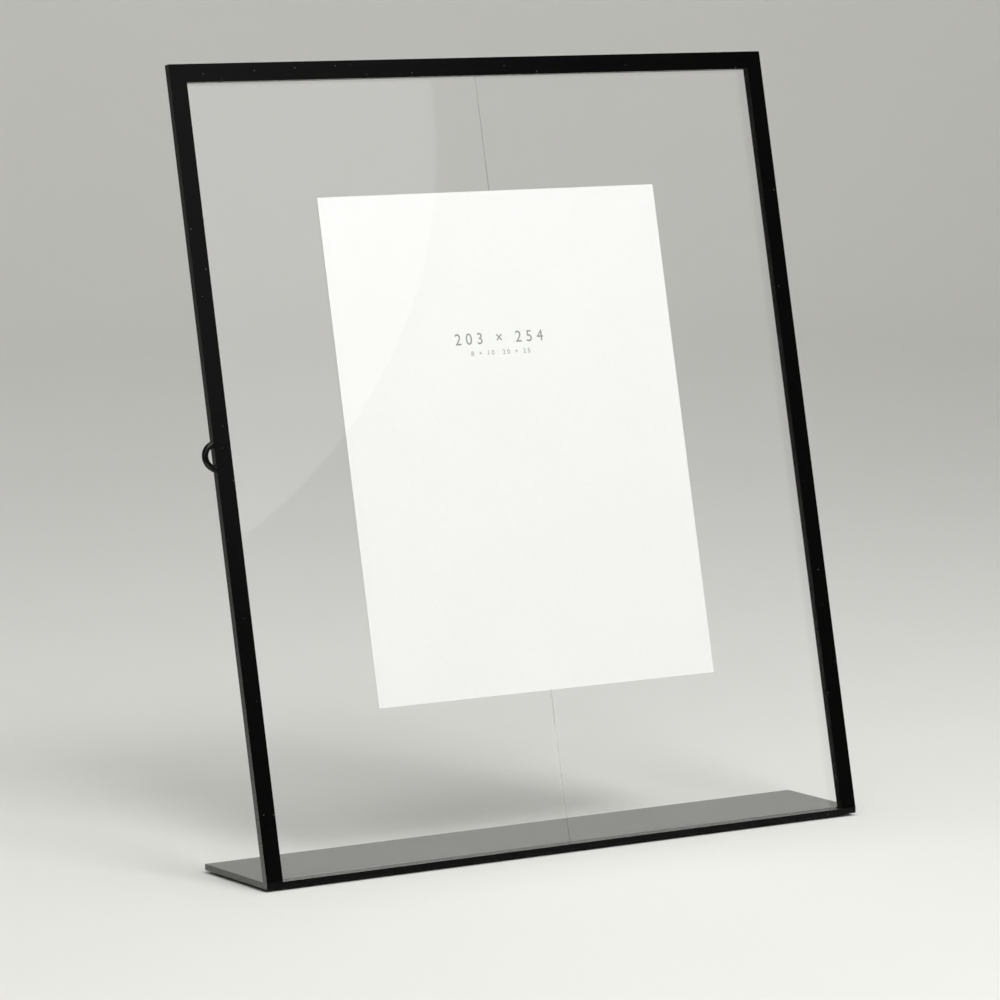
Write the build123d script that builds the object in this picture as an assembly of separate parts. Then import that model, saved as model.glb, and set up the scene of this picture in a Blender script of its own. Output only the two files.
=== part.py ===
from build123d import *
import math
import os

# A leaning photo frame: two thin panes hold a floating card behind a black metal arch of two
# stiles and a top rail, which stands on the front edge of a thin base plate. The left stile
# carries a pull ring: it pulls off sideways, and the panes then slide out to the left.
# Millimetres. +X runs to the right, +Y to the back and +Z up. The origin lies on the surface
# that the feet stand on, in the middle of the overall width and depth.

# Flat frame bars
frame_width = 357.0
face_height = 399.5
bar_width = 9.2
bar_depth = 3.8
bar_edge_radius = 0.2
lean_degrees = 12.7
mitre_gap = 0.1

# Strips behind each bar that make the slot for the panes: a spacer, then a keeper over it
spacer_inset = 2.5
spacer_width = 0.8
keeper_width = 4.5
keeper_thickness = 0.5
strip_edge_radius = 0.1

# Base plate and its feet
plate_depth = 59.0
plate_thickness = 3.0
plate_edge_radius = 0.12
foot_height = 1.4
foot_diameter = 10.0
foot_edge_radius = 0.4
foot_inset = 9.0

# Panes, the liners beside them and the card
glass_thickness = 1.2
liner_thickness = 1.6
glass_arris = 0.05
joint_offset = 1.8
joint_gap = 0.03
card_width = 203.2
card_height = 254.0
card_thickness = 0.22
card_offset = 1.0
card_lift = 6.9

# Running room
slot_clearance = 0.05
card_clearance = 0.04
plate_clearance = 0.1
liner_clearance = 0.1
tongue_clearance = 0.2

# Tongue inside the top of the loose stile
tongue_reach = 20.0
tongue_lead = 0.3

# Pull ring
ring_radius = 6.05
ring_wire = 3.2
ring_sink = 1.3
ring_lift = 7.6

# How far every cut runs past what it cuts
overrun = 1.0

# Worked out from the sizes above
lean_slope = math.tan(math.radians(lean_degrees))
lean_cosine = math.cos(math.radians(lean_degrees))
lean_sine = math.sin(math.radians(lean_degrees))
half_width = frame_width / 2
plate_top = foot_height + plate_thickness
pack_front = bar_depth + slot_clearance
card_front = pack_front + glass_thickness + card_clearance
back_pane_front = card_front + card_thickness + card_clearance
pack_back = back_pane_front + glass_thickness
slot_back = pack_back + slot_clearance
frame_depth = slot_back + keeper_thickness
slot_inset = spacer_inset + spacer_width
glass_inset = slot_inset + liner_thickness + liner_clearance
pane_edge = half_width - glass_inset
pane_bottom = pack_back * lean_slope + plate_clearance / lean_cosine
pane_top = face_height - glass_inset
card_middle = (pane_bottom + pane_top) / 2 + card_lift
ring_middle = face_height / 2 + ring_lift
tongue_tip = bar_width + tongue_reach - half_width
ring_reach = ring_radius + ring_wire / 2 - ring_sink
overall_depth = (face_height - spacer_inset) * lean_sine + frame_depth * lean_cosine

# Each kind of strip: its two edges, measured in from the bar's outer face, its front and back,
# and the radius of its long edges
keeper_reach = spacer_inset + keeper_width
strips = {
    "bar": ((0, bar_width), (0, bar_depth), bar_edge_radius),
    "spacer": ((spacer_inset, slot_inset), (bar_depth, slot_back), strip_edge_radius),
    "keeper": ((spacer_inset, keeper_reach), (slot_back, frame_depth), strip_edge_radius),
}


def block(x_limits, y_limits, z_limits):
    """A box between two limits along each axis."""
    corner = Pos(x_limits[0], y_limits[0], z_limits[0])
    size = [limits[1] - limits[0] for limits in (x_limits, y_limits, z_limits)]
    return corner * Box(*size, align=(Align.MIN, Align.MIN, Align.MIN))


def prism(points, plane, direction, length):
    """A flat outline drawn on a plane and pushed out along a direction."""
    outline = make_face(Polyline(*points, close=True))
    return extrude(plane * outline, amount=length, dir=direction)


def to_origin(piece):
    """Move a piece from the plate's front edge to the middle of the overall width and depth."""
    return Pos(ring_reach / 2, -overall_depth / 2, 0) * piece


def lean(piece):
    """Stand an upright piece on the plate's front edge and lean it back."""
    return to_origin(Pos(0, 0, plate_top) * Rot(X=-lean_degrees) * piece)


def upright_strip(strip, top_gap, foot_clearance):
    """A strip of the left stile: mitred at the top, its foot cut to the slope of the plate."""
    insets, depths, edge_radius = strip
    x_limits = [inset - half_width for inset in insets]
    length = block(x_limits, depths, (0, face_height))
    length = fillet(length.edges().filter_by(Axis.Z), radius=edge_radius)
    foot_rise = foot_clearance / lean_cosine
    front = [
        (-half_width, 0),
        (bar_width - half_width, 0),
        (bar_width - half_width, face_height - bar_width - top_gap),
        (-half_width, face_height - top_gap),
    ]
    side = [
        (0, foot_rise),
        (frame_depth, foot_rise + frame_depth * lean_slope),
        (frame_depth, face_height),
        (0, face_height),
    ]
    outer_face = Plane(origin=(-half_width, 0, 0), x_dir=(0, 1, 0), z_dir=(1, 0, 0))
    mitred = length & prism(front, Plane.XZ, (0, 1, 0), frame_depth)
    return mitred & prism(side, outer_face, (1, 0, 0), bar_width)


def left_strip(strip):
    """A strip of the loose stile, a hair clear of the rail and the plate."""
    return lean(upright_strip(strip, mitre_gap, plate_clearance))


def right_strip(strip):
    """A strip of the fixed stile, welded to the plate and the rail."""
    return lean(mirror(upright_strip(strip, 0, 0), about=Plane.YZ))


def top_strip(strip):
    """A strip of the top rail, mitred at both ends."""
    insets, depths, edge_radius = strip
    z_limits = (face_height - insets[1], face_height - insets[0])
    length = block((-half_width, half_width), depths, z_limits)
    length = fillet(length.edges().filter_by(Axis.X), radius=edge_radius)
    inner_edge = half_width - bar_width
    front = [
        (-half_width, face_height),
        (half_width, face_height),
        (inner_edge, face_height - bar_width),
        (-inner_edge, face_height - bar_width),
    ]
    return lean(length & prism(front, Plane.XZ, (0, 1, 0), frame_depth))


def base_plate():
    """The flat plate that reaches back from the foot of the frame."""
    plate = block((-half_width, half_width), (0, plate_depth), (foot_height, plate_top))
    return to_origin(fillet(plate.edges(), radius=plate_edge_radius))


def foot(side, row):
    """One glued foot; side is -1 for left and 1 for right, row is 0 for front and 1 for back."""
    x = side * (half_width - foot_inset)
    y = foot_inset + row * (plate_depth - 2 * foot_inset)
    to_floor = (Align.CENTER, Align.CENTER, Align.MIN)
    pad = Cylinder(foot_diameter / 2, foot_height, align=to_floor)
    pad = fillet(pad.edges().group_by(Axis.Z)[0], radius=foot_edge_radius)
    return to_origin(Pos(x, y, 0) * pad)


def pane(x_limits, front):
    """One pane with all its edges arrissed."""
    sheet = block(x_limits, (front, front + glass_thickness), (pane_bottom, pane_top))
    return lean(chamfer(sheet.edges(), length=glass_arris))


def photo_card():
    """The card that floats between the panes."""
    x_limits = (card_offset - card_width / 2, card_offset + card_width / 2)
    y_limits = (card_front, card_front + card_thickness)
    z_limits = (card_middle - card_height / 2, card_middle + card_height / 2)
    return lean(block(x_limits, y_limits, z_limits))


def slot_depths(clearance):
    """Front and back of a piece that lies in the slot between a bar and its keeper."""
    return (bar_depth + clearance, slot_back - clearance)


def side_liner():
    """The strip in the left slot, between the spacer and the edges of the panes."""
    x_limits = (slot_inset - half_width, slot_inset + liner_thickness - half_width)
    z_limits = (pane_bottom, face_height - bar_width)
    return block(x_limits, slot_depths(liner_clearance), z_limits)


def top_liner():
    """The strip in the rail's slot, from the end of the tongue to the right stile."""
    x_limits = (tongue_tip + liner_clearance, half_width - bar_width)
    z_limits = (face_height - slot_inset - liner_thickness, face_height - slot_inset)
    return lean(block(x_limits, slot_depths(liner_clearance), z_limits))


def stile_tongue():
    """The tongue fixed in the top of the loose stile, which slides into the rail over the panes."""
    x_limits = (slot_inset - half_width, tongue_tip)
    z_limits = (pane_top + tongue_clearance, face_height - slot_inset - tongue_clearance)
    bar = block(x_limits, slot_depths(tongue_clearance), z_limits)
    return lean(chamfer(bar.faces().sort_by(Axis.X)[-1].edges(), length=tongue_lead))


def pull_ring():
    """The half ring of round wire on the outer face of the left stile."""
    turned = Rot(X=90) * Torus(ring_radius, ring_wire / 2)
    ring = Pos(ring_sink - half_width, bar_depth / 2, ring_middle) * turned
    reach = ring_radius + ring_wire
    inside = block(
        (-half_width, -half_width + ring_sink + reach),
        (-overrun, bar_depth + overrun),
        (ring_middle - reach, ring_middle + reach),
    )
    return lean(ring - inside)


pieces = {
    "base_plate": base_plate(),
    "right_liner": lean(mirror(side_liner(), about=Plane.YZ)),
    "top_liner": top_liner(),
    "front_glass": pane((-pane_edge, pane_edge), pack_front),
    "back_glass_left": pane((-pane_edge, joint_offset - joint_gap / 2), back_pane_front),
    "back_glass_right": pane((joint_offset + joint_gap / 2, pane_edge), back_pane_front),
    "photo_card": photo_card(),
    "left_liner": lean(side_liner()),
    "stile_tongue": stile_tongue(),
    "pull_ring": pull_ring(),
}
for kind, strip in strips.items():
    pieces[f"left_{kind}"] = left_strip(strip)
    pieces[f"right_{kind}"] = right_strip(strip)
    pieces[f"top_{kind}"] = top_strip(strip)
for side_name, side in (("left", -1), ("right", 1)):
    for row_name, row in (("front", 0), ("back", 1)):
        pieces[f"foot_{row_name}_{side_name}"] = foot(side, row)

os.makedirs("parts", exist_ok=True)
for name, piece in pieces.items():
    export_step(piece, f"parts/{name}.step")
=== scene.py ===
import math

import bmesh
import bpy
from mathutils import Matrix, Vector


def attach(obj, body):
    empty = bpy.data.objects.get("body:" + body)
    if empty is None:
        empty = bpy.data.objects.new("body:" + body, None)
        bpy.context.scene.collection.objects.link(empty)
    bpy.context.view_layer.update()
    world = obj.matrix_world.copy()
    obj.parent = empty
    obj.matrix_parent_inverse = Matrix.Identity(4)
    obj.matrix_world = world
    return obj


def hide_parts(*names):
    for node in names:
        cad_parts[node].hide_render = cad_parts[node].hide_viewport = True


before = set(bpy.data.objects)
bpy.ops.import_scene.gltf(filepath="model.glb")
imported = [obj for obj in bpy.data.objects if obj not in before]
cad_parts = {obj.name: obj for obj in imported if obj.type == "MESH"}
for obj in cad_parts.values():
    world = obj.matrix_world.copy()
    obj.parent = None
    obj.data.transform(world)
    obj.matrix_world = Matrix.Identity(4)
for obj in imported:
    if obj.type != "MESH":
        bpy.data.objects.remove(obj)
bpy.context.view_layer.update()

# Looks of the leaning photo frame: black powder-coated metal, clear panes, a white card.
# Metres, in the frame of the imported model. Widths run along X, depths along Y, heights along Z.
MM = 0.001
QUARTER_TURN = math.pi / 2
FULL_TURN = 2 * math.pi
ACROSS, DEEP, UP = range(3)

# Camera, at the photograph's viewing angle
CAMERA_PLACE = (-1.3532, -2.0157, 0.4741)
CAMERA_TURN_DEGREES = 33.692
CAMERA_DROP_DEGREES = 7.066
CAMERA_ROLL_DEGREES = -0.036
CAMERA_LENS = 174.86
CAMERA_SENSOR = 36.0
CAMERA_NEAR = 0.05
CAMERA_FAR = 50.0

# Pull ring, and how its wire swells into the weld at each root
RING_RADIUS = 6.05 * MM
RING_WIRE = 3.2 * MM
RING_SINK = 1.3 * MM
RING_STEPS = 72
RING_SIDES = 28
WELD_SWELL_SHARE = 0.22
WELD_REACH = 0.9 * MM
MERGE_DISTANCE = 0.001 * MM

# Ribbed rubber liners in the slots behind the bars
RIB_COUNT = 3
RIB_DEPTH = 0.5 * MM
RIB_GROOVE = 0.3 * MM
LINER_EDGE_RADIUS = 0.12 * MM
LINER_EDGE_STEPS = 3

# Plain numbers printed on the card: text, height and drop of each line, and where the ink lies
NUMBER_LINES = (("203 × 254", 8.2 * MM, 0.0), ("8 × 10  20 × 25", 3.4 * MM, 5.8 * MM))
NUMBERS_SHIFT = -4.6 * MM
NUMBERS_SPACING_SHARE = 1.6
NUMBERS_DROP_SHARE = 0.305
INK_THICKNESS = 0.008 * MM
INK_CLEARANCE = 0.004 * MM

# A detail's least and full share, and the values of noise between which most details run
FULL_SHARES = (0.0, 1.0)
NOISE_SPAN = (0.3, 0.7)
TONE_SPAN = (0.35, 0.7)

# Powder coat: gloss and colours, on the bars, the plate and the ring
COAT_ROUGHNESS = 0.19
COAT_GLOSS_TINT = (0.24, 0.24, 0.236)
COAT_SHEEN = 0.1
COAT_SHEEN_ROUGHNESS = 0.3
COAT_DARK = (0.0012, 0.0012, 0.0012)
COAT_LIGHT = (0.0026, 0.0026, 0.0025)
COAT_MARK = (0.16, 0.16, 0.15)
PLATE_ROUGHNESS = 0.15
PLATE_GLOSS_TINT = (0.0, 0.0, 0.0)
PLATE_FILM_SHARE = 1.0
FILM_IOR = 1.13
RING_GLOSS_TINT = (0.25, 0.25, 0.245)

# Powder coat: its grain, orange peel, clouds and streaks, and how far they roughen or raise it
GRAIN_SIZE = 0.55 * MM
GRAIN_ROUGHENING = (-0.04, 0.06)
PEEL_SIZE = 2.4 * MM
PEEL_SHARE = 0.8
COAT_BUMP = 0.012 * MM
CLOUD_SIZE = 45 * MM
CLOUD_ROUGHENING = 0.02
STREAK_SIZE = 1.6 * MM
STREAK_STRETCH = (0.06, 1.0, 1.0)
STREAK_ROUGHENING = (-0.02, 0.02)

# Powder coat: light specks in loose groups, and worn patches along the edges
SPECK_SPACING = 4.2 * MM
SPECK_SPAN = (0.04, 0.08)
SPECK_GROUP_SIZE = 11 * MM
SPECK_GROUP_LEVEL = 0.5
SPECK_SHARE = 0.8
WEAR_SIZE = 6 * MM
WEAR_SPAN = (0.5, 0.72)
WEAR_EDGE_SPAN = (0.05, 0.25)
WEAR_SHARE = 0.35

# Painted light on side faces and, weaker, a painted sheen on top faces, lighter near the foot and
# fading out with height
PAINTED_LIGHT_COLOUR = (0.16, 0.16, 0.154)
PAINTED_LIGHT_FADE_HEIGHT = 70 * MM
PAINTED_LIGHT_GRAIN_SPAN = (0.35, 0.65)
PAINTED_LIGHT_GRAIN_SHARES = (0.2, 1.8)
SIDE_FACE_SPAN = (0.7, 0.95)
TOP_FACE_SPAN = (0.9, 0.99)
TOP_PAINTED_SHEEN_SHARE = 0.36

# Pane glass: smears on its broad faces, ground edges, and clear faces at the joint and the foot
GLASS_IOR = 1.3
GLASS_CLEAR = (1.0, 1.0, 1.0)
GLASS_RIM = (0.84, 0.92, 0.88)
GLASS_PASSING = (0.97, 0.975, 0.97)
SMEAR_SIZE = 30 * MM
SMEAR_STRETCH = (1.0, 1.0, 0.35)
SMEAR_SPAN = (0.45, 0.8)
SMEAR_ROUGHENING = (0.0, 0.03)
GROUND_SIZE = 0.4 * MM
GROUND_ROUGHNESS = (0.04, 0.12)
GROUND_BUMP = 0.004 * MM
ARRIS_SPAN = (0.05, 0.2)
SQUARE_FACE_LEVEL = 0.9
JOINT_ZONE = 20 * MM
CLEAR_FACE_SHARE = 0.7

# Card stock
CARD_DARK = (0.92, 0.92, 0.915)
CARD_LIGHT = (0.955, 0.955, 0.95)
CARD_TONED = (0.89, 0.89, 0.88)
CARD_TONE_SIZE = 60 * MM
CARD_TONE_SHARES = (0.0, 0.25)
CARD_ROUGHNESS = (0.55, 0.72)
CARD_SPECULAR = 0.3
FIBRE_SIZE = 0.9 * MM
FIBRE_STRETCH = (1.0, 1.0, 0.3)
FIBRE_BUMP = 0.02 * MM
FIBRE_BUMP_SHARE = 0.4

# Printing ink
INK_DARK = (0.22, 0.22, 0.215)
INK_LIGHT = (0.30, 0.30, 0.29)
INK_GRAIN = 0.5 * MM
INK_ROUGHNESS = (0.5, 0.7)
INK_BUMP = 0.004 * MM

# Rubber of the feet and the liners
RUBBER_DARK = (0.012, 0.012, 0.012)
RUBBER_BLOOM = (0.035, 0.034, 0.033)
RUBBER_ROUGHNESS = (0.7, 0.9)
RUBBER_BUMP = 0.03 * MM
BLOOM_SIZE = 5 * MM
BLOOM_SPAN = (0.4, 0.75)
FOOT_GRAIN = 0.4 * MM
LINER_GRAIN = 0.25 * MM

# Stage: a round floor that curves up into a wall. The camera stays inside the wall in every view
# at rest, but not in the low views of the poses where the panes are slid out.
FLOOR_RADIUS = 2.7
FLOOR_BEND = 1.5
WALL_HEIGHT = 2.6
STAGE_SIDES = 96
BEND_STEPS = 16
FLOOR_DARK = (0.803, 0.80, 0.768)
FLOOR_LIGHT = (0.823, 0.82, 0.788)
FLOOR_MOTTLE = 0.25
FLOOR_ROUGHNESS = 0.85
FLOOR_SPECULAR = 0.1

# Dark curtain
CURTAIN_RADIUS = 3.6
CURTAIN_TURNS_DEGREES = (-15, 5, 25, 45, 65)
CURTAIN_FOOT = 0.35
CURTAIN_TOP = 3.0
CURTAIN_COLOUR = (0.01, 0.01, 0.01)

# Round lights: name, place, aim, width, power in watts
MIDDLE = (0.0, 0.0, 0.1)
CARD_PLACE = (0.0, 0.0, 0.2)
ROUND_LIGHTS = (
    ("key_high", (0.09, -1.34, 1.86), MIDDLE, 0.9, 13.1),
    ("key_low", (0.12, -1.62, 1.64), MIDDLE, 0.9, 10.7),
    ("right_fill", (0.74, -1.28, 1.76), MIDDLE, 0.9, 1.7),
    ("left_fill", (-1.05, -1.35, 1.6), MIDDLE, 0.9, 6.2),
)

# Soft boxes: name, place, aim, width, height, power in watts
SOFT_BOXES = (
    ("overhead", (0.0, 0.0, 2.4), MIDDLE, 1.8, 1.8, 26.0),
    ("wall_low", (0.0, 1.8, 2.2), (0.5, 4.0, 0.8), 1.2, 1.2, 6.9),
    ("wall_high", (1.3, 2.0, 2.3), (2.2, 3.4, 1.0), 0.8, 0.8, 10.1),
)

# A round light that the panes and the coat mirror, and a large dim one that only the panes mirror
ROUND_MIRRORED = ("round_mirrored", (0.938, -2.147, 1.232), CARD_PLACE, 0.96, 1.6)
PANE_GLOW = ("pane_glow", (1.5, -2.2, 1.0), CARD_PLACE, 4.0, 3.4, 20.5)

# Dim sky all around
SKY_COLOUR = (1.0, 1.0, 0.985)
SKY_STRENGTH = 0.108

PANES = ("front_glass", "back_glass_left", "back_glass_right")


def leaning_angle():
    """How far the panes lean back, read from the broad face of the card."""
    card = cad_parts["photo_card"].data
    broad = max(card.polygons, key=lambda face: face.area)
    return math.atan2(abs(broad.normal.z), abs(broad.normal.y))


LEAN = leaning_angle()
TO_UPRIGHT = Matrix.Rotation(LEAN, 4, "X")
TO_LEANING = TO_UPRIGHT.inverted()


def upright_box(node):
    """Lowest and highest corner of a CAD node, measured square to the leaning frame."""
    places = [TO_UPRIGHT @ vertex.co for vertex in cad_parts[node].data.vertices]
    low = Vector(min(place[axis] for place in places) for axis in (ACROSS, DEEP, UP))
    high = Vector(max(place[axis] for place in places) for axis in (ACROSS, DEEP, UP))
    return low, high


class Shading:
    """A material's node tree with short calls to add nodes and join them."""

    def __init__(self, name):
        self.material = bpy.data.materials.new(name)
        self.material.use_nodes = True
        self.tree = self.material.node_tree
        self.surface = self.tree.nodes["Principled BSDF"]
        self.output = self.tree.nodes["Material Output"]

    def add(self, kind, **settings):
        made = self.tree.nodes.new(kind)
        for name, value in settings.items():
            setattr(made, name, value)
        return made

    def join(self, source, target):
        self.tree.links.new(source, target)

    def drive(self, socket, source):
        """Let a node drive a socket of the main surface."""
        self.join(source, self.surface.inputs[socket])

    def fix(self, socket, value):
        """Set a socket of the main surface to one value or colour all over."""
        if isinstance(value, tuple):
            value = (*value, 1.0)
        self.surface.inputs[socket].default_value = value

    def place(self):
        """Coordinates fixed to the piece, in metres."""
        return self.add("ShaderNodeTexCoord").outputs["Object"]

    def parts(self, source):
        """The X, Y and Z parts of a vector."""
        made = self.add("ShaderNodeSeparateXYZ")
        self.join(source, made.inputs["Vector"])
        return made.outputs

    def normal_parts(self, lean=0.0):
        """The way a surface faces, along the piece's own axes, which lean back by an angle."""
        turn = self.add("ShaderNodeVectorRotate", rotation_type="X_AXIS")
        turn.inputs["Angle"].default_value = lean
        self.join(self.add("ShaderNodeTexCoord").outputs["Normal"], turn.inputs["Vector"])
        return self.parts(turn.outputs["Vector"])

    def stretched(self, source, stretch):
        mapping = self.add("ShaderNodeMapping")
        mapping.inputs["Scale"].default_value = stretch
        self.join(source, mapping.inputs["Vector"])
        return mapping.outputs["Vector"]

    def noise(self, source, size, detail=2.0, roughness=0.5):
        """Noise whose lumps are about the given size, in metres."""
        made = self.add("ShaderNodeTexNoise")
        made.inputs["Scale"].default_value = 1.0 / size
        made.inputs["Detail"].default_value = detail
        made.inputs["Roughness"].default_value = roughness
        self.join(source, made.inputs["Vector"])
        return made.outputs["Fac"]

    def cell_distance(self, source, size):
        """Distance from the middle of scattered cells of about the given size, as a share of it."""
        made = self.add("ShaderNodeTexVoronoi")
        made.inputs["Scale"].default_value = 1.0 / size
        self.join(source, made.inputs["Vector"])
        return made.outputs["Distance"]

    def ranged(self, source, span, results=FULL_SHARES):
        """A value from one range mapped to another and held inside it."""
        made = self.add("ShaderNodeMapRange")
        for name, value in zip(("From Min", "From Max", "To Min", "To Max"), (*span, *results)):
            made.inputs[name].default_value = value
        self.join(source, made.inputs["Value"])
        return made.outputs["Result"]

    def maths(self, operation, first, second=None):
        made = self.add("ShaderNodeMath", operation=operation)
        for socket, value in zip(made.inputs, (first, second)):
            if isinstance(value, (int, float)):
                socket.default_value = value
            elif value is not None:
                self.join(value, socket)
        return made.outputs["Value"]

    def mixed_colour(self, share, first, second):
        made = self.add("ShaderNodeMix", data_type="RGBA")
        colours = [socket for socket in made.inputs if socket.type == "RGBA"]
        for socket, value in zip(colours, (first, second)):
            if isinstance(value, tuple):
                socket.default_value = (*value, 1.0)
            else:
                self.join(value, socket)
        self.join(share, made.inputs["Factor"])
        return next(socket for socket in made.outputs if socket.type == "RGBA")

    def bumped(self, height, depth, strength=1.0):
        """Bump of a given depth in metres on the main surface."""
        made = self.add("ShaderNodeBump")
        made.inputs["Distance"].default_value = depth
        made.inputs["Strength"].default_value = strength
        self.join(height, made.inputs["Height"])
        self.drive("Normal", made.outputs["Normal"])

    def off_axis(self, lean):
        """0 on faces square to the piece's own axes, and more on the rounded edges between them."""
        across, deep, up = (self.maths("ABSOLUTE", part) for part in self.normal_parts(lean))
        largest = self.maths("MAXIMUM", across, self.maths("MAXIMUM", deep, up))
        return self.maths("SUBTRACT", 1.0, largest)


def coat_marks(shading, place, lean):
    """How far a light speck or a worn edge shows through the coat."""
    near_speck = shading.ranged(shading.cell_distance(place, SPECK_SPACING), SPECK_SPAN, (1.0, 0.0))
    groups = shading.noise(place, SPECK_GROUP_SIZE)
    specks = shading.maths(
        "MULTIPLY", near_speck, shading.maths("GREATER_THAN", groups, SPECK_GROUP_LEVEL)
    )
    wear = shading.maths(
        "MULTIPLY",
        shading.ranged(shading.off_axis(lean), WEAR_EDGE_SPAN),
        shading.ranged(shading.noise(place, WEAR_SIZE, detail=4.0), WEAR_SPAN),
    )
    return shading.maths(
        "MAXIMUM",
        shading.maths("MULTIPLY", specks, SPECK_SHARE),
        shading.maths("MULTIPLY", wear, WEAR_SHARE),
    )


def painted_foot_light(shading, place, grain, painted_light_share):
    """Painted light in grains near the foot: lighter side faces and, weaker, a painted sheen on top
    faces.
    """
    height = shading.parts(place)["Z"]
    height_fade = shading.maths("EXPONENT", shading.maths("MULTIPLY", height, -1.0 / PAINTED_LIGHT_FADE_HEIGHT))
    grainy_light = shading.maths("MULTIPLY", height_fade, shading.ranged(grain, PAINTED_LIGHT_GRAIN_SPAN, PAINTED_LIGHT_GRAIN_SHARES))
    facing = shading.normal_parts()
    aside = shading.maths("ABSOLUTE", facing["X"])
    side_painted_light = shading.ranged(aside, SIDE_FACE_SPAN, (0.0, painted_light_share))
    top_painted_sheen = shading.ranged(facing["Z"], TOP_FACE_SPAN, (0.0, painted_light_share * TOP_PAINTED_SHEEN_SHARE))
    return shading.maths("MULTIPLY", grainy_light, shading.maths("MAXIMUM", side_painted_light, top_painted_sheen))


def coat_roughness(shading, place, grain, roughness):
    """Roughness of the coat, which drifts in clouds, grain and faint streaks."""
    clouds = shading.noise(place, CLOUD_SIZE, detail=3.0)
    streaks = shading.noise(shading.stretched(place, STREAK_STRETCH), STREAK_SIZE, detail=2.0)
    cloudy = (roughness - CLOUD_ROUGHENING, roughness + CLOUD_ROUGHENING)
    fine = shading.maths(
        "ADD",
        shading.ranged(grain, NOISE_SPAN, GRAIN_ROUGHENING),
        shading.ranged(streaks, NOISE_SPAN, STREAK_ROUGHENING),
    )
    return shading.maths("ADD", shading.ranged(clouds, NOISE_SPAN, cloudy), fine)


def powder_coat(
    name,
    lean,
    gloss_tint=COAT_GLOSS_TINT,
    roughness=COAT_ROUGHNESS,
    painted_light_share=0.0,
    film_share=0.0,
):
    """Satin black powder coat: fine grain, faint orange peel, light specks, worn edges and, if asked,
    painted light on side faces near the foot with a painted sheen on top faces.
    Its gloss is weak seen square on and strong at grazing angles, and a clear film adds to that."""
    shading = Shading(name)
    place = shading.place()
    grain = shading.noise(place, GRAIN_SIZE, detail=3.0, roughness=0.6)
    coat = shading.mixed_colour(shading.ranged(grain, TONE_SPAN), COAT_DARK, COAT_LIGHT)
    # Painted light: side faces lighter near the foot, and a weaker painted sheen on top faces.
    coat = shading.mixed_colour(painted_foot_light(shading, place, grain, painted_light_share), coat, PAINTED_LIGHT_COLOUR)
    coat = shading.mixed_colour(coat_marks(shading, place, lean), coat, COAT_MARK)
    shading.drive("Base Color", coat)
    shading.drive("Roughness", coat_roughness(shading, place, grain, roughness))
    shading.fix("Specular Tint", gloss_tint)
    shading.fix("Coat Weight", film_share)
    shading.fix("Coat IOR", FILM_IOR)
    shading.fix("Coat Roughness", roughness)
    shading.fix("Sheen Weight", COAT_SHEEN)
    shading.fix("Sheen Roughness", COAT_SHEEN_ROUGHNESS)
    peel = shading.noise(place, PEEL_SIZE, detail=1.0)
    relief = shading.maths("ADD", grain, shading.maths("MULTIPLY", peel, PEEL_SHARE))
    shading.bumped(relief, COAT_BUMP)
    return shading.material


def clear_glass():
    """Clear pane glass: faint smears, ground edges of faint green, and clearer faces where the
    half panes meet and at the foot. It lets lamps through."""
    shading = Shading("clear_pane_glass")
    shading.fix("Transmission Weight", 1.0)
    shading.fix("IOR", GLASS_IOR)
    place = shading.place()
    facing = shading.normal_parts(LEAN)
    rim = shading.maths("LESS_THAN", shading.maths("ABSOLUTE", facing["Y"]), SQUARE_FACE_LEVEL)
    edge = shading.maths("MAXIMUM", shading.ranged(shading.off_axis(LEAN), ARRIS_SPAN), rim)
    aside = shading.maths("ABSOLUTE", shading.parts(place)["X"])
    ground_edge = shading.maths("MULTIPLY", edge, shading.maths("GREATER_THAN", aside, JOINT_ZONE))
    shading.drive("Base Color", shading.mixed_colour(ground_edge, GLASS_CLEAR, GLASS_RIM))

    ground = shading.noise(place, GROUND_SIZE, detail=3.0)
    smear = shading.noise(shading.stretched(place, SMEAR_STRETCH), SMEAR_SIZE, detail=4.0)
    polish = shading.ranged(smear, SMEAR_SPAN, SMEAR_ROUGHENING)
    edge_rough = shading.maths(
        "MULTIPLY", ground_edge, shading.ranged(ground, NOISE_SPAN, GROUND_ROUGHNESS)
    )
    shading.drive("Roughness", shading.maths("MAXIMUM", polish, edge_rough))
    shading.bumped(shading.maths("MULTIPLY", ground, ground_edge), GROUND_BUMP)

    path = shading.add("ShaderNodeLightPath").outputs
    from_lamp = shading.maths("MAXIMUM", path["Is Shadow Ray"], path["Is Diffuse Ray"])
    near_joint = shading.maths("SUBTRACT", edge, ground_edge)
    bottom = shading.maths("LESS_THAN", facing["Z"], -SQUARE_FACE_LEVEL)
    clear_face = shading.maths("MAXIMUM", near_joint, bottom)
    passing = shading.maths(
        "MAXIMUM", from_lamp, shading.maths("MULTIPLY", clear_face, CLEAR_FACE_SHARE)
    )
    open_air = shading.add("ShaderNodeBsdfTransparent")
    open_air.inputs["Color"].default_value = (*GLASS_PASSING, 1.0)
    mix = shading.add("ShaderNodeMixShader")
    sources = (passing, shading.surface.outputs["BSDF"], open_air.outputs["BSDF"])
    for source, target in zip(sources, mix.inputs):
        shading.join(source, target)
    shading.join(mix.outputs["Shader"], shading.output.inputs["Surface"])
    return shading.material


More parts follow.
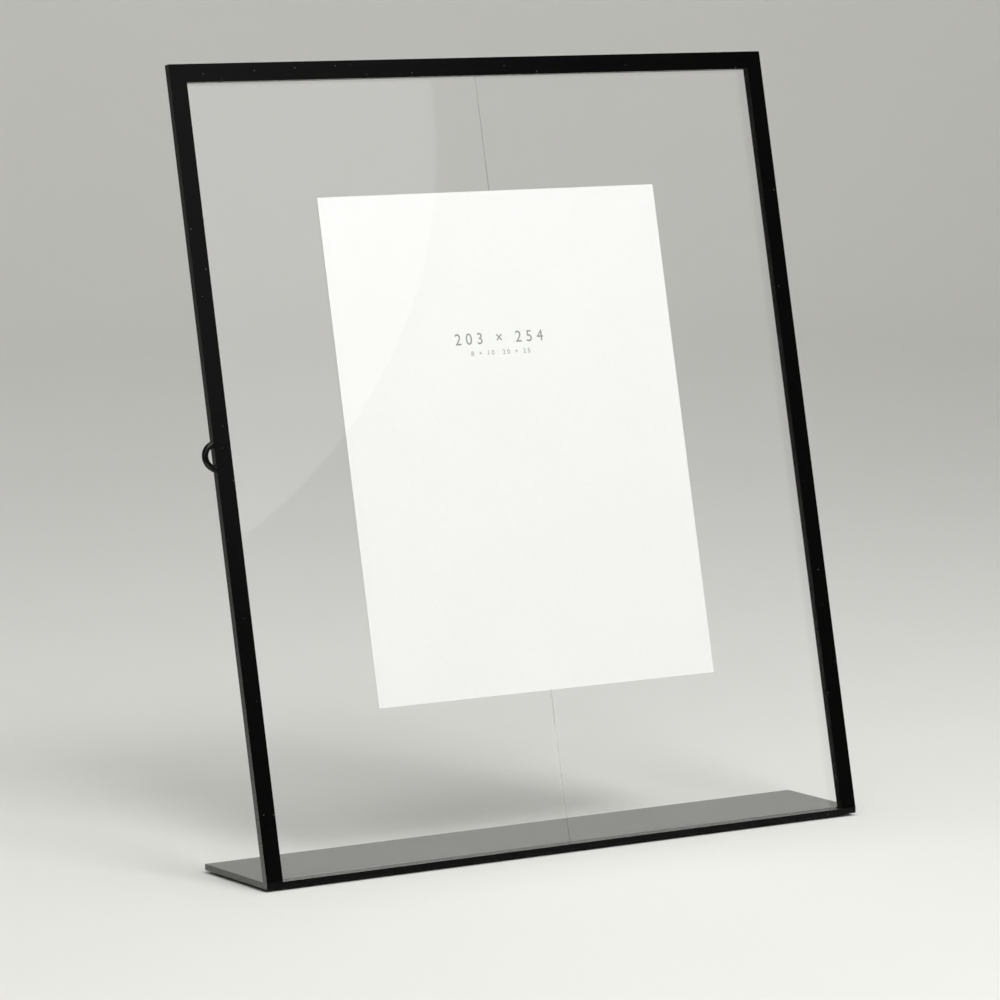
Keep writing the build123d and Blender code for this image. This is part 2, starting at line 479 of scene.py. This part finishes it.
def card_stock():
    """Smooth white card with faint fibres and a slow drift in tone."""
    shading = Shading("white_card_stock")
    place = shading.place()
    fibres = shading.noise(
        shading.stretched(place, FIBRE_STRETCH), FIBRE_SIZE, detail=5.0, roughness=0.65
    )
    tone = shading.noise(place, CARD_TONE_SIZE, detail=2.0)
    body = shading.mixed_colour(shading.ranged(fibres, NOISE_SPAN), CARD_DARK, CARD_LIGHT)
    toned_share = shading.ranged(tone, NOISE_SPAN, CARD_TONE_SHARES)
    shading.drive("Base Color", shading.mixed_colour(toned_share, body, CARD_TONED))
    shading.drive("Roughness", shading.ranged(fibres, NOISE_SPAN, CARD_ROUGHNESS))
    shading.fix("Specular IOR Level", CARD_SPECULAR)
    shading.bumped(fibres, FIBRE_BUMP, strength=FIBRE_BUMP_SHARE)
    return shading.material


def printing_ink():
    """Light grey ink, a little uneven where the card's grain shows through."""
    shading = Shading("grey_ink")
    grain = shading.noise(shading.place(), INK_GRAIN, detail=4.0)
    colour = shading.mixed_colour(shading.ranged(grain, TONE_SPAN), INK_DARK, INK_LIGHT)
    shading.drive("Base Color", colour)
    shading.drive("Roughness", shading.ranged(grain, NOISE_SPAN, INK_ROUGHNESS))
    shading.bumped(grain, INK_BUMP)
    return shading.material


def black_rubber(name, grain_size):
    """Matt black rubber with a fine moulded grain and a dusty bloom."""
    shading = Shading(name)
    place = shading.place()
    grain = shading.noise(place, grain_size, detail=3.0)
    bloom = shading.ranged(shading.noise(place, BLOOM_SIZE, detail=4.0), BLOOM_SPAN)
    shading.drive("Base Color", shading.mixed_colour(bloom, RUBBER_DARK, RUBBER_BLOOM))
    shading.drive("Roughness", shading.ranged(grain, NOISE_SPAN, RUBBER_ROUGHNESS))
    shading.bumped(grain, RUBBER_BUMP)
    return shading.material


def floor_paint():
    """Pale matt floor with very faint mottling."""
    shading = Shading("pale_floor")
    mottle = shading.noise(shading.place(), FLOOR_MOTTLE, detail=3.0)
    shading.drive("Base Color", shading.mixed_colour(mottle, FLOOR_DARK, FLOOR_LIGHT))
    shading.fix("Roughness", FLOOR_ROUGHNESS)
    shading.fix("Specular IOR Level", FLOOR_SPECULAR)
    return shading.material


def curtain_cloth():
    """Plain dark cloth."""
    shading = Shading("curtain_cloth")
    shading.fix("Base Color", CURTAIN_COLOUR)
    return shading.material


def finished_mesh(made, name, smooth=False):
    """Turn a mesh under construction into mesh data."""
    mesh_data = bpy.data.meshes.new(name)
    made.to_mesh(mesh_data)
    made.free()
    for face in mesh_data.polygons:
        face.use_smooth = smooth
    return mesh_data


def dress(thing, material):
    """Give one object a single material."""
    thing.data.materials.clear()
    thing.data.materials.append(material)


def new_object(name, mesh_data, material):
    """Link finished mesh data to the scene as an object."""
    thing = bpy.data.objects.new(name, mesh_data)
    bpy.context.scene.collection.objects.link(thing)
    dress(thing, material)
    return thing


def new_piece(name, mesh_data, material, body):
    """Link finished mesh data as a piece of the object."""
    piece = new_object(name, mesh_data, material)
    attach(piece, body)
    return piece


def ring_mesh():
    """Half ring of round wire that swells into a small weld where it meets the stile."""
    low, high = upright_box("pull_ring")
    face_x = high.x
    centre = Vector((face_x + RING_SINK, (low.y + high.y) / 2, (low.z + high.z) / 2))
    root_angle = math.acos(RING_SINK / RING_RADIUS)
    past_root = 2 * WELD_REACH / RING_RADIUS
    made = bmesh.new()
    rings = []
    for step in range(RING_STEPS + 1):
        angle = (root_angle + past_root) * (2 * step / RING_STEPS - 1)
        to_root = max(0.0, (root_angle - abs(angle)) * RING_RADIUS)
        radius = RING_WIRE / 2 * (1 + WELD_SWELL_SHARE * math.exp(-to_root / WELD_REACH))
        outwards = Vector((-math.cos(angle), 0, math.sin(angle)))
        middle = centre + outwards * RING_RADIUS
        ring = []
        for side in range(RING_SIDES):
            turn = FULL_TURN * side / RING_SIDES
            place = middle + radius * (math.cos(turn) * outwards + math.sin(turn) * Vector((0, 1, 0)))
            place.x = min(place.x, face_x)
            ring.append(made.verts.new(TO_LEANING @ place))
        rings.append(ring)
    for ring, following in zip(rings, rings[1:]):
        for side in range(RING_SIDES):
            after = (side + 1) % RING_SIDES
            made.faces.new((ring[side], ring[after], following[after], following[side]))
    bmesh.ops.remove_doubles(made, verts=made.verts, dist=MERGE_DISTANCE)
    bmesh.ops.holes_fill(made, edges=[edge for edge in made.edges if edge.is_boundary])
    bmesh.ops.recalc_face_normals(made, faces=made.faces)
    return finished_mesh(made, "ring", smooth=True)


def liner_outline(low, high, thick_axis, rib_face):
    """Section of a liner, as depth and thickness, with grooves between its ribs."""
    back, front = (low, high) if rib_face > 0 else (high, low)
    face = front[thick_axis]
    pitch = (high.y - low.y) / RIB_COUNT
    outline = [(low.y, back[thick_axis]), (low.y, face)]
    for rib in range(1, RIB_COUNT):
        groove = low.y + rib * pitch
        outline.append((groove - RIB_GROOVE / 2, face))
        outline.append((groove, face - rib_face * RIB_DEPTH))
        outline.append((groove + RIB_GROOVE / 2, face))
    outline += [(high.y, face), (high.y, back[thick_axis])]
    return outline


def liner_mesh(node, rib_face, long_axis):
    """Rubber strip that fills a CAD node's box, grooved on the face that meets the panes."""
    low, high = upright_box(node)
    thick_axis = ACROSS if long_axis == UP else UP
    outline = liner_outline(low, high, thick_axis, rib_face)
    made = bmesh.new()
    ends = []
    for along in (low[long_axis], high[long_axis]):
        ring = []
        for depth, thick in outline:
            place = Vector((0.0, depth, 0.0))
            place[thick_axis] = thick
            place[long_axis] = along
            ring.append(made.verts.new(TO_LEANING @ place))
        ends.append(ring)
        made.faces.new(ring)
    long_edges = []
    for index, (near, far) in enumerate(zip(*ends)):
        after = (index + 1) % len(outline)
        made.faces.new((near, ends[0][after], ends[1][after], far))
        long_edges.append(made.edges.get((near, far)))
    bmesh.ops.recalc_face_normals(made, faces=made.faces)
    bmesh.ops.bevel(
        made,
        geom=long_edges,
        offset=LINER_EDGE_RADIUS,
        segments=LINER_EDGE_STEPS,
        affect="EDGES",
        profile=0.5,
    )
    return finished_mesh(made, node)


def number_mesh(text, height, drop):
    """Plain numbers as a thin flat mesh on the front of the card."""
    curve = bpy.data.curves.new("numbers", type="FONT")
    curve.body = text
    curve.size = height
    curve.align_x = "CENTER"
    curve.space_character = NUMBERS_SPACING_SHARE
    curve.extrude = INK_THICKNESS / 2
    holder = bpy.data.objects.new("numbers", curve)
    bpy.context.scene.collection.objects.link(holder)
    bpy.context.view_layer.update()
    evaluated = holder.evaluated_get(bpy.context.evaluated_depsgraph_get())
    mesh_data = bpy.data.meshes.new_from_object(evaluated)
    bpy.data.objects.remove(holder)
    low, high = upright_box("photo_card")
    middle = (low.x + high.x) / 2 + NUMBERS_SHIFT
    front = low.y - INK_CLEARANCE - INK_THICKNESS / 2
    level = high.z - NUMBERS_DROP_SHARE * (high.z - low.z) - drop
    stand_up = Matrix.Rotation(QUARTER_TURN, 4, "X")
    mesh_data.transform(TO_LEANING @ Matrix.Translation((middle, front, level)) @ stand_up)
    return mesh_data


def make_floor():
    """Round pale floor that curves up into a wall."""
    outline = [(FLOOR_RADIUS, 0.0)]
    for step in range(1, BEND_STEPS + 1):
        turn = QUARTER_TURN * step / BEND_STEPS
        across = FLOOR_RADIUS + FLOOR_BEND * math.sin(turn)
        outline.append((across, FLOOR_BEND * (1 - math.cos(turn))))
    outline.append((FLOOR_RADIUS + FLOOR_BEND, WALL_HEIGHT))
    made = bmesh.new()
    middle = made.verts.new((0, 0, 0))
    rings = []
    for radius, height in outline:
        ring = []
        for side in range(STAGE_SIDES):
            turn = FULL_TURN * side / STAGE_SIDES
            ring.append(made.verts.new((radius * math.cos(turn), radius * math.sin(turn), height)))
        rings.append(ring)
    for side in range(STAGE_SIDES):
        after = (side + 1) % STAGE_SIDES
        made.faces.new((middle, rings[0][side], rings[0][after]))
        for ring, following in zip(rings, rings[1:]):
            made.faces.new((ring[side], following[side], following[after], ring[after]))
    floor = new_object("floor", finished_mesh(made, "floor", smooth=True), floor_paint())


def make_curtain():
    """A dark curtain in front of the frame, which only gloss shows, so that the black stays deep."""
    made = bmesh.new()
    posts = []
    for turn_degrees in CURTAIN_TURNS_DEGREES:
        turn = math.radians(turn_degrees)
        x, y = CURTAIN_RADIUS * math.sin(turn), -CURTAIN_RADIUS * math.cos(turn)
        posts.append([made.verts.new((x, y, height)) for height in (CURTAIN_FOOT, CURTAIN_TOP)])
    for (foot, top), (next_foot, next_top) in zip(posts, posts[1:]):
        made.faces.new((foot, next_foot, next_top, top))
    curtain = new_object("curtain", finished_mesh(made, "curtain"), curtain_cloth())
    curtain.visible_camera = False
    curtain.visible_diffuse = False
    curtain.visible_transmission = False
    curtain.visible_shadow = False


def area_light(name, place, aim, width, height, power, shape="RECTANGLE", lit_nodes=()):
    """A soft light at a place, turned towards a point. Given CAD nodes, it lights only those."""
    data = bpy.data.lights.new(name, "AREA")
    data.shape = shape
    data.size = width
    data.size_y = height
    data.energy = power
    light = bpy.data.objects.new(name, data)
    bpy.context.scene.collection.objects.link(light)
    light.location = place
    light.rotation_mode = "QUATERNION"
    light.rotation_quaternion = (Vector(aim) - Vector(place)).to_track_quat("-Z", "Y")
    light.visible_camera = False
    if lit_nodes:
        lit = bpy.data.collections.new(f"lit_by_{name}")
        for node in lit_nodes:
            lit.objects.link(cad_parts[node])
        light.light_linking.receiver_collection = lit


def round_light(name, place, aim, width, power):
    area_light(name, place, aim, width, width, power, shape="DISK")


def make_lights():
    """Soft lights in front, overhead and on the wall, what the panes mirror, and a dim sky."""
    for light in ROUND_LIGHTS:
        round_light(*light)
    for light in SOFT_BOXES:
        area_light(*light)
    round_light(*ROUND_MIRRORED)
    area_light(*PANE_GLOW, lit_nodes=PANES)
    world = bpy.data.worlds.new("studio")
    world.use_nodes = True
    sky = world.node_tree.nodes["Background"].inputs
    sky["Color"].default_value = (*SKY_COLOUR, 1.0)
    sky["Strength"].default_value = SKY_STRENGTH
    bpy.context.scene.world = world


def make_camera():
    """The photograph's viewpoint, with no depth of field and no shift."""
    data = bpy.data.cameras.new("camera")
    data.lens = CAMERA_LENS
    data.sensor_width = CAMERA_SENSOR
    data.clip_start = CAMERA_NEAR
    data.clip_end = CAMERA_FAR
    camera = bpy.data.objects.new("camera", data)
    bpy.context.scene.collection.objects.link(camera)
    camera.location = CAMERA_PLACE
    tilt = Matrix.Rotation(math.radians(90 - CAMERA_DROP_DEGREES), 4, "X")
    turn = Matrix.Rotation(math.radians(-CAMERA_TURN_DEGREES), 4, "Z")
    roll = Matrix.Rotation(math.radians(CAMERA_ROLL_DEGREES), 4, "Z")
    camera.rotation_euler = (turn @ tilt @ roll).to_euler()
    bpy.context.scene.camera = camera


def dress_nodes(names, material):
    """Give several CAD nodes the same material."""
    for name in names:
        dress(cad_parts[name], material)


make_camera()
make_floor()
make_curtain()
make_lights()
bpy.context.scene.view_settings.view_transform = "Standard"

leaning_coat = powder_coat("black_coat_leaning", LEAN)
# The left bar's coat: painted light on its side faces near the foot.
painted_light_coat = powder_coat("black_coat_painted_light", LEAN, painted_light_share=1.0)
# The plate's coat: painted light on its side faces and a painted sheen on its top face.
level_coat = powder_coat(
    "black_coat_level",
    lean=0.0,
    gloss_tint=PLATE_GLOSS_TINT,
    roughness=PLATE_ROUGHNESS,
    painted_light_share=1.0,
    film_share=PLATE_FILM_SHARE,
)
ring_coat = powder_coat("black_coat_ring", LEAN, RING_GLOSS_TINT)
liner_rubber = black_rubber("liner_rubber", LINER_GRAIN)
ink = printing_ink()

dress_nodes(("top_bar", "right_bar", "stile_tongue"), leaning_coat)
# The left bar alone carries the painted light on its side faces.
dress_nodes(("left_bar",), painted_light_coat)
for side in ("left", "right", "top"):
    dress_nodes((f"{side}_spacer", f"{side}_keeper"), leaning_coat)
dress_nodes(("base_plate",), level_coat)
dress_nodes(PANES, clear_glass())
dress_nodes(("photo_card",), card_stock())
feet = [f"foot_{row}_{side}" for row in ("front", "back") for side in ("left", "right")]
dress_nodes(feet, black_rubber("foot_rubber", FOOT_GRAIN))

ring = new_piece("welded_ring", ring_mesh(), ring_coat, "loose_stile")
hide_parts("pull_ring")

# Liners: CAD node, body, which way the ribs face, and the axis that the strip runs along
for node, body, rib_face, long_axis in (
    ("left_liner", "loose_stile", 1, UP),
    ("right_liner", "stand", -1, UP),
    ("top_liner", "stand", -1, ACROSS),
):
    mesh_data = liner_mesh(node, rib_face, long_axis)
    strip = new_piece(f"ribbed_{node}", mesh_data, liner_rubber, body)
    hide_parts(node)

for index, line in enumerate(NUMBER_LINES):
    new_piece(f"card_numbers_{index}", number_mesh(*line), ink, "glass_pack")
